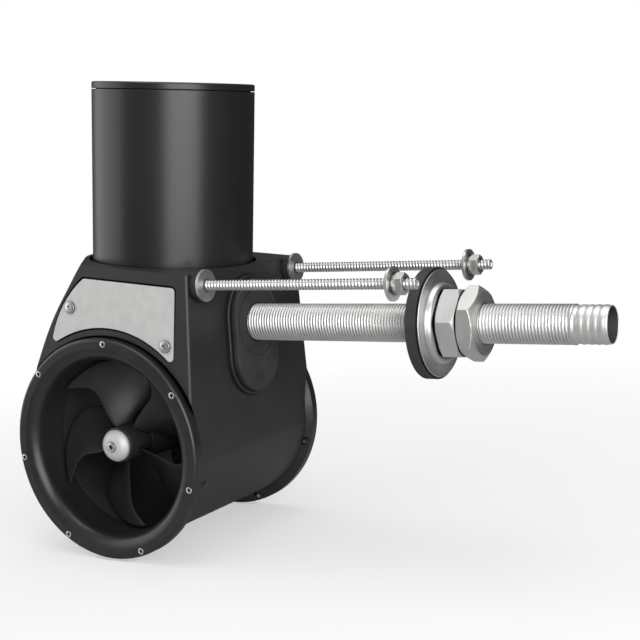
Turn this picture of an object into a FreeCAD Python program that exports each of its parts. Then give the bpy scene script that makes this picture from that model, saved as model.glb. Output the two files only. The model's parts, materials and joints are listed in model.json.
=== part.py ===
import FreeCAD, Part
import math
import os

V = FreeCAD.Vector
os.makedirs("parts", exist_ok=True)

# Underwater stern thruster, millimetres. +X runs into the boat along the mounting studs, +Y is
# the tunnel's axis, +Z is up the transom. The origin is on the transom's outer face, at the
# middle of the cable conduit.

# Placing of the duct and the motor against the transom
LEAN = 5.5            # angle between the motor's axis and the transom's face
REACH = 112.1         # from the transom's face out to the tunnel's axis
DROP = 109.2          # from the conduit's axis down to the tunnel's axis

# Tunnel body
THROAT_R = 86.0
TUBE_R = 93.5
TUBE_HALF = 70.0      # half length of the plain throat, where the nozzle rings begin
FACE_BACK = 10.0      # the body's face stands this far outside the transom
FACE_EDGE = 1.6       # chamfer on that face's upright edges
SPIGOT_R = 89.7
SPIGOT_FIT = 0.2
DECK_Z = 174.0        # deck under the motor, above the tunnel's axis
HALF_TOP = 97.7       # half width of the body at the deck
DRAFT = 0.07          # widening of the side faces per millimetre down
POCKET_R = 102.0      # the flared seat behind each ring passes this radius ...
POCKET_Y = 95.0       # ... at this distance from the middle

# Nozzle rings
RING_R = 107.8
RING_FACE = 113.0
RING_BACK = 101.5
RING_ROUND = 3.5
LIP_R = 98.0
LIP_START = 99.0
BOLT_CIRCLE = 102.75
RING_BOLTS = 7
RING_BOLT_R = 2.0
RING_HEAD_R = 3.4
RING_HEAD_H = 3.2
RING_NUT_R = 3.9
RING_NUT_T = 3.6
RING_NUT_SEAT = 2.5   # depth of the seat cut for each nut in the ring's back
OPEN_BELOW = 20.0     # ring bolts under this height come out of the body's flared seat

# Gear leg
POD_R = 21.5
POD_END_R = 18.5
POD_HALF = 59.5
POD_TAPER = 20.0
STRUT_A = 27.0
STRUT_B = 15.0
CAVITY_R = 18.4
CAVITY_HALF = 21.0
LEG_BORE_R = 9.0
LEG_BEARING_R = 11.0
LEG_BEARING_Z = 34.0
LEG_BEARING_T = 15.0
TOP_BEARING_R = 16.0
TOP_BEARING_Z = 104.0
TOP_BEARING_T = 8.0
LEG_SEAL_T = 6.0
POD_BORE_R = 15.0     # seat of the propeller shaft's bearings and seals
POD_BEARINGS = ((24.0, 12.0), (38.0, 8.0))
POD_SEAL_Y = 48.0
POD_SEAL_T = 9.0

# Side anodes
ANODE_DEPTH = 5.2
ANODE_PROUD = 0.6
ANODE_GAP = 1.6
ANODE_BOLTS = ((-48.5, 131.9), (66.2, 106.6))
ANODE_BOLT_R = 3.0
ANODE_HEAD_R = 5.5

# Propellers
PROP_TIP_R = 83.5
BLADES = 5
BLADE_PITCH = 90.0
BLADE_Y = -82.0
HUB_R = 17.5
HUB_BACK = 60.0
HUB_FRONT = 91.0
CAP_R = 15.5
CAP_H = 9.5
SHAFT_R = 7.0
SHAFT_INNER = 8.0     # inner end of the propeller shaft, from the middle
PIN_R = 2.6
PIN_Y = 64.0
CAP_BOLT_R = 3.0
CAP_HEAD_R = 4.9

# Bevel gears
TEETH_PINION = 12
TEETH_CROWN = 24
CROWN_PITCH_R = 16.0
FACE_WIDTH = 6.0
ADDENDUM = 1.2
DEDENDUM = 1.7

# Motor
CAN_R = 80.0
CAN_WALL = 4.0
CAN_FOOT = 167.0
CAN_TOP = 340.6
LID_FOOT = 341.4
LID_TOP = 347.9
LEDGE_TOP = 331.4     # ledge inside the can, on which the lid's spigot stands
LEDGE_T = 8.0
LEDGE_BORE_R = 58.0
LID_BOLTS = 6
LID_BOLT_CIRCLE = 66.0
LID_BOLT_R = 2.5
LID_HEAD_R = 4.3
LID_HEAD_H = 2.8
GROOVE_R = 83.6
WELL_R = 60.0
WELL_Z = 112.0
POST_R = 24.0
POST_H = 7.0
BASE_BOLTS = ((-49.0, 49.0), (-49.0, -49.0), (49.0, 49.0), (49.0, -49.0))
BASE_BOLT_R = 3.0
BASE_HEAD_R = 5.0
BASE_BOLT_FOOT = 143.0
BELL_T = 9.0
BELL_BOSS_H = 7.0
MOTOR_SHAFT_R = 8.5
MOTOR_BEARING_R = 17.5
MOTOR_BEARING_T = 11.0
LID_BOSS_H = 14.0
COLLAR_R = 12.0
COLLAR_H = 4.0
CORE_R = 63.0
CORE_FOOT = 200.0
CORE_H = 78.0
CORE_SLOTS = 16
SLOT_FLOOR_R = 50.0
COIL_H = 12.0
MAGNET_BORE_R = 67.0
MAGNET_FOOT = 196.0
MAGNET_H = 86.0
COMMUTATOR_R = 25.0
COMMUTATOR_H = 20.0
BRUSH_GAP = 0.4
BRUSH_RING_T = 6.0
COUPLING_R = 18.0
COUPLING_FOOT = 122.0
COUPLING_H = 32.0
DRIVE_R = 6.0
DRIVE_TOP = 133.0

# Conduit and its clamp
PIPE_R = 17.8
PIPE_BORE_R = 15.6
PIPE_START = -44.0
THREAD_END = 323.5
PIPE_END = 355.0
BARB_R = 17.0
PAD_R = 40.0
GASKET_R = 36.5
PAD_RISE = 6.0
PAD_LOW = -31.0
PAD_STEP = 4.0        # height of the moulded pad on the body's face
SEAL_R = 33.3         # ring seal let into the gasket
SEAL_BORE_R = 31.5
SEAL_DEPTH = 1.6
SEAL_T = 1.4
CLAMP_X = 185.0
RUBBER_R = 50.5
RUBBER_T = 10.0
HUB_WASHER_R = 48.6
HUB_WASHER_IN = 1.5   # how deep the washer's rim lies in the rubber
HUB_WASHER_H = 10.0
NUT_AF = 60.0
NUT_END = 223.0
LOCKNUT_END = 245.0

# Mounting studs
STUD_Y = 80.6
STUD_Z = 44.9
STUD_R = 4.9
STUD_START = -38.0
STUD_END = 214.4
STUD_SEAT_R = 14.5
WASHER_R = 15.0
WASHER_T = 2.5
SPRING_WASHER_R = 8.6
SPRING_WASHER_T = 2.4
STUD_NUT_T = 8.4
STUD_NUT_X = 190.3
STUD_NUT_AF = 17.0

FIT = 0.05            # running clearance on a radius
SEAT = 0.1            # clearance of a spigot in its bore, on a radius

X = V(1, 0, 0)
Y = V(0, 1, 0)
Z = V(0, 0, 1)
O = V(0, 0, 0)
SIN = math.sin(math.radians(LEAN))
COS = math.cos(math.radians(LEAN))


def place(shape):
    """Carries a shape from the motor's frame (origin on the tunnel's axis) to the transom's frame."""
    s = shape.copy()
    s.Placement = FreeCAD.Placement(V(-REACH, 0, -DROP), FreeCAD.Rotation(Y, LEAN)).multiply(s.Placement)
    return s


def unplace(shape):
    """Carries a shape from the transom's frame back to the motor's frame."""
    s = shape.copy()
    p = FreeCAD.Placement(V(-REACH, 0, -DROP), FreeCAD.Rotation(Y, LEAN)).inverse()
    s.Placement = p.multiply(s.Placement)
    return s


def save(shape, name):
    """Writes one piece, already in the transom's frame."""
    shape.exportStep("parts/" + name + ".step")


def cyl(r, start, axis, h):
    return Part.makeCylinder(r, h, start, axis)


def ring(ro, ri, start, axis, h):
    return cyl(ro, start, axis, h).cut(cyl(ri, start - axis, axis, h + 2))


def group(shapes):
    return Part.makeCompound(shapes)


def fuse(shapes):
    return shapes[0].multiFuse(shapes[1:]).removeSplitter()


def outline(start, steps, put):
    """Closed wire from 2-D points: a step of one point is a line, of two points an arc through them."""
    edges = []
    here = start
    for step in steps:
        if len(step) == 1:
            edges.append(Part.makeLine(put(here), put(step[0])))
        else:
            edges.append(Part.Arc(put(here), put(step[0]), put(step[1])).toShape())
        here = step[-1]
    return Part.Wire(edges)


def turned_y(start, steps):
    """Solid of revolution about Y of a profile given as (radius, y)."""
    face = Part.Face(outline(start, steps, lambda p: V(p[0], p[1], 0)))
    return face.revolve(O, Y, 360)


def turned_x(start, steps):
    """Solid of revolution about X of a profile given as (x, radius)."""
    face = Part.Face(outline(start, steps, lambda p: V(p[0], 0, p[1])))
    return face.revolve(O, X, 360)


def level_edges(shape, axis, at):
    """Edges that lie in the plane square to the axis at that distance from the origin."""
    found = []
    for e in shape.Edges:
        b = e.BoundBox
        low = V(b.XMin, b.YMin, b.ZMin).dot(axis)
        high = V(b.XMax, b.YMax, b.ZMax).dot(axis)
        if abs(low - at) < 0.01 and abs(high - at) < 0.01:
            found.append(e)
    return found


def mirrored(shape):
    """The same piece on the other side of the middle plane."""
    return shape.mirror(O, Y)


def half_width(z):
    return HALF_TOP + DRAFT * (DECK_Z - z)


def hexagon(af, height, turn):
    """Hexagonal prism along +X from x = 0, af across flats, first corner at turn degrees from +Y."""
    r = af / 2 / math.cos(math.radians(30))
    pts = []
    for k in range(7):
        a = math.radians(turn + 60 * k)
        pts.append(V(0, r * math.cos(a), r * math.sin(a)))
    return Part.Face(Part.makePolygon(pts)).extrude(X * height)


def nut(af, bore_r, x0, height, turn, chamfer):
    """Hexagon nut along X, its corners cut back by a cone at both ends."""
    corner = af / 2 / math.cos(math.radians(30))
    run = chamfer * math.tan(math.radians(30))
    flank = turned_x((0, 0), [[(0, corner - chamfer)], [(run, corner)], [(height - run, corner)],
                              [(height, corner - chamfer)], [(height, 0)], [(0, 0)]])
    body = hexagon(af, height, turn).common(flank).cut(cyl(bore_r, -X, X, height + 2))
    body.translate(X * x0)
    return body


# Moulded tunnel body

def flank_section(z, corner_x, nose_x, nose_r):
    """Plan of the body at one height: flat sides, a slanting flank and a round nose behind the motor."""
    w = half_width(z)
    cx = nose_r - nose_x
    dx = -corner_x - cx
    far = math.hypot(dx, w)
    base = math.atan2(-w, dx)
    open_a = math.acos(nose_r / far)
    t = base - open_a
    tx = cx + nose_r * math.cos(t)
    ty = nose_r * math.sin(t)
    right = 130.0
    start = (-corner_x, -w)
    steps = [[(tx, ty)], [(-nose_x, 0), (tx, -ty)], [(-corner_x, w)], [(right, w)], [(right, -w)], [start]]
    return outline(start, steps, lambda p: V(p[0], p[1], z))


def saddle():
    """Body above the tunnel's axis, lofted from the wide foot to the deck."""
    rows = ((0, 97.0, 97.5, 160.0), (31, 96.5, 98.5, 155.0), (62, 91.0, 99.5, 150.0), (81, 84.8, 98.5, 138.0),
            (103, 76.8, 96.5, 124.0), (129, 64.8, 93.5, 108.0), (153, 51.0, 90.3, 96.0),
            (DECK_Z, 38.5, 88.0, 88.0))
    wires = []
    for row in rows:
        wires.append(flank_section(*row))
    return Part.makeLoft(wires, True, False)


def keel():
    """Body below the axis: the tube, drawn out toward the transom with a round underside."""
    d = REACH - FACE_BACK - TUBE_R
    cx = d * COS
    cz = d * SIN
    ux = -SIN * TUBE_R
    uz = COS * TUBE_R
    start = (ux, uz)
    steps = [[(-COS * TUBE_R, -SIN * TUBE_R), (-ux, -uz)], [(cx - ux, cz - uz)],
             [(cx + COS * TUBE_R, cz + SIN * TUBE_R), (cx + ux, cz + uz)], [start]]
    w = half_width(0)
    face = Part.Face(outline(start, steps, lambda p: V(p[0], -w, p[1])))
    return face.extrude(Y * 2 * w)


def inside_transom():
    """Everything beyond the body's flat mounting face, in the motor's frame."""
    box = Part.makeBox(300, 600, 800, V(-FACE_BACK, -300, -400))
    return unplace(box)


def edge_wedge(edge):
    """Three-sided bar along an upright edge of the mounting face, whose removal leaves a chamfer."""
    a = edge.Vertexes[0].Point
    b = edge.Vertexes[-1].Point
    side = math.copysign(1.0, a.y)
    corners = [V(-FACE_EDGE, 0, 0), V(0, -side * FACE_EDGE, 0), V(2, side * 2, 0), V(-FACE_EDGE, 0, 0)]
    start = a - (b - a) * 0.02
    wire = Part.makePolygon([start + c for c in corners])
    return Part.Face(wire).extrude((b - a) * 1.04)


def ring_seat(side):
    """Flared space cleared behind a nozzle ring, outward from the tube's end."""
    y0 = POCKET_Y - 12
    r0 = POCKET_R - 12
    big = 60
    cone = Part.makeCone(r0, r0 + big, big, V(0, side * y0, 0), Y * side)
    return cone


def racetrack(r, x0, x1):
    """Upright racetrack plate on the transom's side, round ends of radius r."""
    start = (-r, PAD_RISE)
    steps = [[(0, PAD_RISE + r), (r, PAD_RISE)], [(r, PAD_LOW)], [(0, PAD_LOW - r), (-r, PAD_LOW)], [start]]
    face = Part.Face(outline(start, steps, lambda p: V(x0, p[0], p[1])))
    return face.extrude(X * (x1 - x0))


def anode_outline(side, g):
    """Zinc plate's outline on the side face, grown by g, as a long prism through the face."""
    r = 116.6 - g
    bl = (-71.5 - g, 95.1 - g * 0.4)
    br = (76.1 + g, 88.5 - g * 0.3)
    k = r / math.hypot(*bl)
    bl = (bl[0] * k, bl[1] * k)
    k = r / math.hypot(*br)
    br = (br[0] * k, br[1] * k)
    tl = (-33.8 - g, 161.2 + g)
    tr = (73.5 + g, 161.2 + g)
    start = tl
    steps = [[tr], [br], [(-2.0, r), bl], [(-57.0 - 0.85 * g, 134.0 + 0.5 * g), tl]]
    face = Part.Face(outline(start, steps, lambda p: V(p[0], side * 80, p[1])))
    prism = face.extrude(Y * side * 60)
    rounds = []
    for e in prism.Edges:
        a = e.Vertexes[0].Point
        b = e.Vertexes[-1].Point
        if abs(a.y - b.y) > 50:
            rounds.append(e)
    return prism.makeFillet(4.0 + g, rounds)


def side_slab(side, low, high):
    """Layer parallel to the drafted side face, between two offsets from it."""
    z0 = 40.0
    z1 = DECK_Z + 10
    pts = []
    for y, z in ((half_width(z0) + low, z0), (half_width(z1) + low, z1), (half_width(z1) + high, z1),
                 (half_width(z0) + high, z0), (half_width(z0) + low, z0)):
        pts.append(V(-150, side * y, z))
    return Part.Face(Part.makePolygon(pts)).extrude(X * 300)


def ellipse_prism(a, b, z0, z1):
    e = Part.Ellipse(V(0, 0, z0), a, b).toShape()
    return Part.Face(Part.Wire([e])).extrude(Z * (z1 - z0))


def ring_bolt_places():
    spots = []
    for k in range(RING_BOLTS):
        a = math.radians(90 + 360.0 / RING_BOLTS * k)
        spots.append((BOLT_CIRCLE * math.cos(a), BOLT_CIRCLE * math.sin(a)))
    return spots


def low_bolts():
    """Ring bolts that come out behind the flange in the open, and so carry nuts."""
    spots = []
    for x, z in ring_bolt_places():
        if z < OPEN_BELOW:
            spots.append((x, z))
    return spots


def housing():
    """One-piece moulded body with the gear leg across its tunnel."""
    body = place(saddle().fuse(keel()).cut(inside_transom()))
    for e in level_edges(body, X, -FACE_BACK):
        if e.BoundBox.ZLength > DROP:
            body = body.cut(edge_wedge(e))
    body = unplace(body)
    for side in (-1, 1):
        body = body.cut(ring_seat(side))
    tunnel = cyl(THROAT_R, V(0, -150, 0), Y, 300)
    body = body.cut(tunnel)
    for side in (-1, 1):
        body = body.cut(cyl(SPIGOT_R + SPIGOT_FIT, V(0, side * TUBE_HALF, 0), Y * side, 60))
    pod = turned_y((0, -POD_HALF), [[(POD_END_R, -POD_HALF)], [(POD_R, -POD_HALF + POD_TAPER)],
                                    [(POD_R, POD_HALF - POD_TAPER)], [(POD_END_R, POD_HALF)], [(0, POD_HALF)],
                                    [(0, -POD_HALF)]])
    leg = ellipse_prism(STRUT_A, STRUT_B, 0, THROAT_R + 6).fuse(pod)
    body = body.fuse(leg)
    # space for the motor's foot, the gear shaft and the cable well
    body = body.cut(cyl(GROOVE_R, V(0, 0, CAN_FOOT), Z, DECK_Z - CAN_FOOT + 10))
    well = cyl(WELL_R, V(0, 0, WELL_Z), Z, DECK_Z - WELL_Z)
    post = cyl(POST_R, V(0, 0, WELL_Z - 1), Z, POST_H + 1)
    body = body.cut(well).fuse(post)
    body = body.cut(cyl(LEG_BORE_R, V(0, 0, CAVITY_R / 2), Z, DECK_Z))
    body = body.cut(cyl(LEG_BEARING_R, V(0, 0, LEG_BEARING_Z), Z, LEG_BEARING_T + 1))
    body = body.cut(cyl(TOP_BEARING_R, V(0, 0, TOP_BEARING_Z), Z, DECK_Z - TOP_BEARING_Z))
    body = body.cut(cyl(CAVITY_R, V(0, -CAVITY_HALF, 0), Y, 2 * CAVITY_HALF))
    body = body.cut(cyl(POD_BORE_R, V(0, -POD_HALF - 1, 0), Y, 2 * POD_HALF + 2))
    # side anodes let into the drafted faces
    for side in (-1, 1):
        body = body.cut(anode_outline(side, ANODE_GAP).common(side_slab(side, -ANODE_DEPTH, 8)))
        for x, z in ANODE_BOLTS:
            body = body.cut(cyl(ANODE_BOLT_R, V(x, side * (half_width(z) - 20), z), Y * side, 30))
    # ring bolts
    for side in (-1, 1):
        for x, z in ring_bolt_places():
            body = body.cut(cyl(RING_BOLT_R, V(x, side * (RING_BACK - 17), z), Y * side, 30))
    # base bolts of the motor
    for x, y in BASE_BOLTS:
        body = body.cut(cyl(BASE_BOLT_R, V(x, y, BASE_BOLT_FOOT - 3), Z, 40))
    body = place(body)
    # pad and stud seats on the mounting face
    pad = racetrack(PAD_R, -FACE_BACK - 3, -FACE_BACK + PAD_STEP)
    pad = pad.makeFillet(1.2, level_edges(pad, X, -FACE_BACK + PAD_STEP))
    seats = []
    deck = place(Part.makeBox(400, 400, 60, V(-200, -200, DECK_Z)))
    for side in (-1, 1):
        seats.append(cyl(STUD_SEAT_R, V(-FACE_BACK - 3, side * STUD_Y, STUD_Z), X,
                         FACE_BACK + 3 - WASHER_T).cut(deck))
    body = body.multiFuse([pad] + seats)
    body = body.cut(cyl(PIPE_R, V(PIPE_START, 0, 0), X, 60))
    body = body.cut(cyl(PIPE_BORE_R, V(PIPE_START - 20, 0, 0), X, 60))
    for side in (-1, 1):
        body = body.cut(cyl(STUD_R, V(STUD_START, side * STUD_Y, STUD_Z), X, 60))
    return body


# Nozzle rings

def nozzle(side):
    """Bell-mouthed ring on the near (-1) or far (+1) end of the tunnel."""
    back = lambda r: RING_BACK - (RING_R - r)
    mid_r = LIP_R - (LIP_R - THROAT_R) * 0.7071
    mid_y = LIP_START + (RING_FACE - LIP_START) * 0.7071
    k = RING_ROUND * 0.2929
    steps = [[(THROAT_R, LIP_START)], [(mid_r, mid_y), (LIP_R, RING_FACE)], [(RING_R - RING_ROUND, RING_FACE)],
             [(RING_R - k, RING_FACE - k), (RING_R, RING_FACE - RING_ROUND)], [(RING_R, RING_BACK)],
             [(SPIGOT_R, back(SPIGOT_R))], [(SPIGOT_R, TUBE_HALF)], [(THROAT_R, TUBE_HALF)]]
    body = turned_y((THROAT_R, TUBE_HALF), steps)
    for x, z in ring_bolt_places():
        body = body.cut(cyl(RING_BOLT_R, V(x, 80, z), Y, 60))
        body = body.cut(cyl(RING_HEAD_R + 0.3, V(x, RING_FACE - RING_HEAD_H, z), Y, 10))
    for x, z in low_bolts():
        body = body.cut(cyl(RING_NUT_R + 0.7, V(x, RING_BACK - RING_NUT_SEAT, z), -Y, 20))
    if side < 0:
        body = mirrored(body)
    return place(body)


def ring_screws(side):
    """Seven socket cap screws through one ring."""
    parts = []
    for x, z in ring_bolt_places():
        low = z < OPEN_BELOW
        start = RING_BACK - RING_NUT_SEAT - RING_NUT_T - 0.4 if low else RING_BACK - 16.5
        shank = cyl(RING_BOLT_R, V(x, start, z), Y, RING_FACE - 1 - start)
        head = cyl(RING_HEAD_R, V(x, RING_FACE - RING_HEAD_H, z), Y, RING_HEAD_H)
        s = shank.fuse(head).cut(cyl(1.5, V(x, RING_FACE - 1.8, z), Y, 3))
        parts.append(mirrored(s) if side < 0 else s)
    return place(group(parts))


def ring_nuts():
    """Cap nuts behind the flanges where the bolts come out in the open."""
    parts = []
    for x, z in low_bolts():
        n = ring(RING_NUT_R, RING_BOLT_R, V(x, RING_BACK - RING_NUT_SEAT, z), -Y, RING_NUT_T)
        parts.append(n)
        parts.append(mirrored(n))
    return place(group(parts))


# Side anodes

def anode(side):
    plate = anode_outline(side, 0).common(side_slab(side, -ANODE_DEPTH, ANODE_PROUD))
    for x, z in ANODE_BOLTS:
        plate = plate.cut(cyl(ANODE_BOLT_R, V(x, side * (half_width(z) - 20), z), Y * side, 30))
    return place(plate)


def anode_screws():
    parts = []
    for side in (-1, 1):
        for x, z in ANODE_BOLTS:
            y = half_width(z) + ANODE_PROUD + DRAFT * ANODE_HEAD_R + 0.02
            s = cyl(ANODE_BOLT_R, V(x, side * (y - 20), z), Y * side, 20)
            s = s.fuse(cyl(ANODE_HEAD_R, V(x, side * y, z), Y * side, 1.4))
            parts.append(s.cut(cyl(2.0, V(x, side * (y - 1.5), z), Y * side, 4)))
    return place(group(parts))


# Motor

def lid_bolt_places():
    spots = []
    for k in range(LID_BOLTS):
        a = math.radians(30 + 360.0 / LID_BOLTS * k)
        spots.append((LID_BOLT_CIRCLE * math.cos(a), LID_BOLT_CIRCLE * math.sin(a)))
    return spots


def motor_can():
    """Tube that holds the motor and keeps the water out, with a ledge inside for the lid's screws."""
    body = ring(CAN_R, CAN_R - CAN_WALL, V(0, 0, CAN_FOOT), Z, CAN_TOP - CAN_FOOT)
    body = body.fuse(ring(CAN_R - CAN_WALL, LEDGE_BORE_R, V(0, 0, LEDGE_TOP - LEDGE_T), Z, LEDGE_T))
    for x, y in lid_bolt_places():
        body = body.cut(cyl(LID_BOLT_R, V(x, y, LEDGE_TOP - LEDGE_T - 1), Z, LEDGE_T + 2))
    return place(body)


def motor_lid():
    """Flat lid with a spigot in the tube and a boss for the upper bearing."""
    plate = cyl(CAN_R, V(0, 0, LID_FOOT), Z, LID_TOP - LID_FOOT)
    plate = plate.makeFillet(1.6, level_edges(plate, Z, LID_TOP))
    spigot = ring(CAN_R - CAN_WALL - SEAT, LEDGE_BORE_R, V(0, 0, LEDGE_TOP), Z, LID_FOOT - LEDGE_TOP)
    boss = cyl(POST_R, V(0, 0, LID_FOOT - LID_BOSS_H), Z, LID_BOSS_H + 1)
    body = fuse([plate, spigot, boss])
    body = body.cut(ring(CAN_R - CAN_WALL + 1, CAN_R - CAN_WALL - 2.2, V(0, 0, LID_FOOT - 6), Z, 2.4))
    body = body.cut(cyl(MOTOR_BEARING_R, V(0, 0, LID_FOOT - LID_BOSS_H - 1), Z, MOTOR_BEARING_T + 1))
    for x, y in lid_bolt_places():
        body = body.cut(cyl(LID_BOLT_R, V(x, y, LEDGE_TOP - 1), Z, 30))
        body = body.cut(cyl(LID_HEAD_R + 0.3, V(x, y, LID_TOP - LID_HEAD_H - 0.4), Z, 10))
    return place(body)


def lid_screws():
    parts = []
    for x, y in lid_bolt_places():
        seat = LID_TOP - LID_HEAD_H - 0.4
        s = cyl(LID_BOLT_R, V(x, y, LEDGE_TOP - LEDGE_T), Z, seat + 1 - LEDGE_TOP + LEDGE_T)
        s = s.fuse(cyl(LID_HEAD_R, V(x, y, seat), Z, LID_HEAD_H))
        parts.append(s.cut(cyl(1.6, V(x, y, seat + 1.2), Z, 4)))
    return place(group(parts))


def lid_oring():
    return place(ring(CAN_R - CAN_WALL, CAN_R - CAN_WALL - 2.1, V(0, 0, LID_FOOT - 5.9), Z, 2.2))


def base_oring():
    return place(ring(GROOVE_R, CAN_R, V(0, 0, CAN_FOOT), Z, 2.6))


def end_bell():
    """Lower end plate of the motor, screwed down in the body, with the lower bearing's seat."""
    plate = cyl(CAN_R - CAN_WALL - SEAT, V(0, 0, CAN_FOOT), Z, BELL_T)
    top = BELL_T + BELL_BOSS_H
    body = plate.fuse(cyl(POST_R, V(0, 0, CAN_FOOT), Z, top))
    body = body.cut(cyl(MOTOR_SHAFT_R + 2, V(0, 0, CAN_FOOT - 1), Z, top + 2))
    body = body.cut(cyl(MOTOR_BEARING_R, V(0, 0, CAN_FOOT + top - MOTOR_BEARING_T - 1), Z, top))
    body = body.cut(cyl(9, V(-44, 0, CAN_FOOT - 1), Z, 20))
    for x, y in BASE_BOLTS:
        body = body.cut(cyl(BASE_BOLT_R, V(x, y, CAN_FOOT - 1), Z, 20))
    return place(body)


def base_screws():
    parts = []
    for x, y in BASE_BOLTS:
        s = cyl(BASE_BOLT_R, V(x, y, BASE_BOLT_FOOT), Z, CAN_FOOT + BELL_T - BASE_BOLT_FOOT)
        s = s.fuse(cyl(BASE_HEAD_R, V(x, y, CAN_FOOT + BELL_T), Z, 5))
        parts.append(s.cut(cyl(BASE_HEAD_R / 2, V(x, y, CAN_FOOT + BELL_T + 2), Z, 5)))
    return place(group(parts))


def magnets():
    """Four curved field magnets on the tube's wall."""
    whole = ring(CAN_R - CAN_WALL, MAGNET_BORE_R, V(0, 0, MAGNET_FOOT), Z, MAGNET_H)
    parts = []
    for k in range(4):
        slot = Part.makeBox(CAN_R * 2, 14, MAGNET_H + 10, V(0, -7, MAGNET_FOOT - 5))
        slot.rotate(O, Z, 45 + 90 * k)
        whole = whole.cut(slot)
    for s in whole.Solids:
        parts.append(s)
    return place(group(parts))


def brush_middle():
    """Height of the brushes, at the middle of the commutator."""
    return CORE_FOOT + CORE_H + COIL_H + COMMUTATOR_H * 0.75


def brush_gear():
    """Ring that carries the four brush holders round the commutator."""
    z = brush_middle()
    start = COMMUTATOR_R + 5
    parts = [ring(CAN_R - CAN_WALL, start + 8, V(0, 0, z + 6), Z, BRUSH_RING_T)]
    for k in range(4):
        holder = Part.makeBox(20, 14, 12.5, V(start, -7, z - 6))
        holder = holder.cut(Part.makeBox(30, 10.2, 8, V(start - 2, -5.1, z - 4)))
        holder.rotate(O, Z, 45 + 90 * k)
        parts.append(holder)
    return place(fuse(parts))


def brushes():
    z = brush_middle()
    parts = []
    for k in range(4):
        b = Part.makeBox(16, 10, 7.8, V(COMMUTATOR_R + 0.6, -5, z - 3.9))
        b = b.cut(cyl(COMMUTATOR_R + BRUSH_GAP, V(0, 0, z - 20), Z, 40))
        b.rotate(O, Z, 45 + 90 * k)
        parts.append(b)
    return place(group(parts))


def bearing(inner, outer, start, axis, h):
    """Plain-looking sealed bearing, drawn as one ring with a dished face."""
    body = ring(outer, inner, start, axis, h)
    lip = ring(outer - 2, inner + 2, start + axis * (h - 0.6), axis, 1)
    return body.cut(lip)


def static_bearings():
    bell_top = CAN_FOOT + BELL_T + BELL_BOSS_H
    parts = []
    for z in (LID_FOOT - LID_BOSS_H, bell_top - MOTOR_BEARING_T - 1):
        parts.append(bearing(MOTOR_SHAFT_R + FIT, MOTOR_BEARING_R, V(0, 0, z), Z, MOTOR_BEARING_T))
    parts.append(bearing(DRIVE_R + FIT, LEG_BEARING_R, V(0, 0, LEG_BEARING_Z), Z, LEG_BEARING_T))
    parts.append(bearing(DRIVE_R + FIT, TOP_BEARING_R, V(0, 0, TOP_BEARING_Z), Z, TOP_BEARING_T))
    for y, h in POD_BEARINGS:
        parts.append(bearing(SHAFT_R + FIT, POD_BORE_R, V(0, y, 0), Y, h))
        parts.append(bearing(SHAFT_R + FIT, POD_BORE_R, V(0, -y, 0), -Y, h))
    return place(group(parts))


def shaft_seals():
    parts = [ring(TOP_BEARING_R, DRIVE_R + FIT, V(0, 0, TOP_BEARING_Z + TOP_BEARING_T + 0.5), Z, LEG_SEAL_T),
             ring(POD_BORE_R, SHAFT_R + FIT, V(0, POD_SEAL_Y, 0), Y, POD_SEAL_T),
             ring(POD_BORE_R, SHAFT_R + FIT, V(0, -POD_SEAL_Y, 0), -Y, POD_SEAL_T)]
    return place(group(parts))


def power_relay():
    """Pair of switching relays on the floor of the cable well."""
    parts = []
    for y in (-24, 24):
        b = Part.makeBox(24, 34, 40, V(-54, y - 17, WELL_Z))
        b = b.fuse(cyl(3.5, V(-42, y - 8, WELL_Z + 40), Z, 6)).fuse(cyl(3.5, V(-42, y + 8, WELL_Z + 40), Z, 6))
        parts.append(b.common(cyl(WELL_R - 0.5, V(0, 0, WELL_Z), Z, 60)))
    return place(group(parts))


# Armature and gear shaft

def armature_core():
    """Slotted iron core."""
    core = ring(CORE_R, MOTOR_SHAFT_R, V(0, 0, CORE_FOOT), Z, CORE_H)
    slots = []
    for k in range(CORE_SLOTS):
        s = Part.makeBox(CORE_R, 6, CORE_H + 2, V(SLOT_FLOOR_R, -3, CORE_FOOT - 1))
        s.rotate(O, Z, 360.0 / CORE_SLOTS * k)
        slots.append(s)
    return place(core.cut(slots[0].multiFuse(slots[1:])))


def windings():
    """Copper coils: bars in the slots and the rounded end turns."""
    foot = CORE_FOOT
    top = CORE_FOOT + CORE_H
    rim = CORE_R - 5
    near = SLOT_FLOOR_R - 4
    upper = [[(20, top + COIL_H)], [(near, top + COIL_H)], [(rim - 2, top + COIL_H / 2), (rim, top)],
             [(20, top)]]
    parts = [turned_z((20, top), upper),
             turned_z((20, foot), [[(rim, foot)], [(rim - 2, foot - COIL_H / 2), (near, foot - COIL_H)],
                                   [(20, foot - COIL_H)], [(20, foot)]])]
    for k in range(CORE_SLOTS):
        s = Part.makeBox(rim - SLOT_FLOOR_R, 5.6, CORE_H + 2, V(SLOT_FLOOR_R, -2.8, foot - 1))
        s.rotate(O, Z, 360.0 / CORE_SLOTS * k)
        parts.append(s)
    return place(fuse(parts))


def turned_z(start, steps):
    """Solid of revolution about Z of a profile given as (radius, z)."""
    face = Part.Face(outline(start, steps, lambda p: V(p[0], 0, p[1])))
    return face.revolve(O, Z, 360)


def commutator():
    return place(ring(COMMUTATOR_R, MOTOR_SHAFT_R, V(0, 0, CORE_FOOT + CORE_H + COIL_H), Z, COMMUTATOR_H))


def motor_shaft():
    """Armature shaft with the collars that the core and the bearings stand against."""
    foot = DRIVE_TOP + 3
    body = cyl(MOTOR_SHAFT_R, V(0, 0, foot), Z, LID_FOOT - 4 - foot)
    body = body.fuse(cyl(COLLAR_R, V(0, 0, CORE_FOOT - COIL_H - COLLAR_H), Z, COLLAR_H))
    return place(body)


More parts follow.
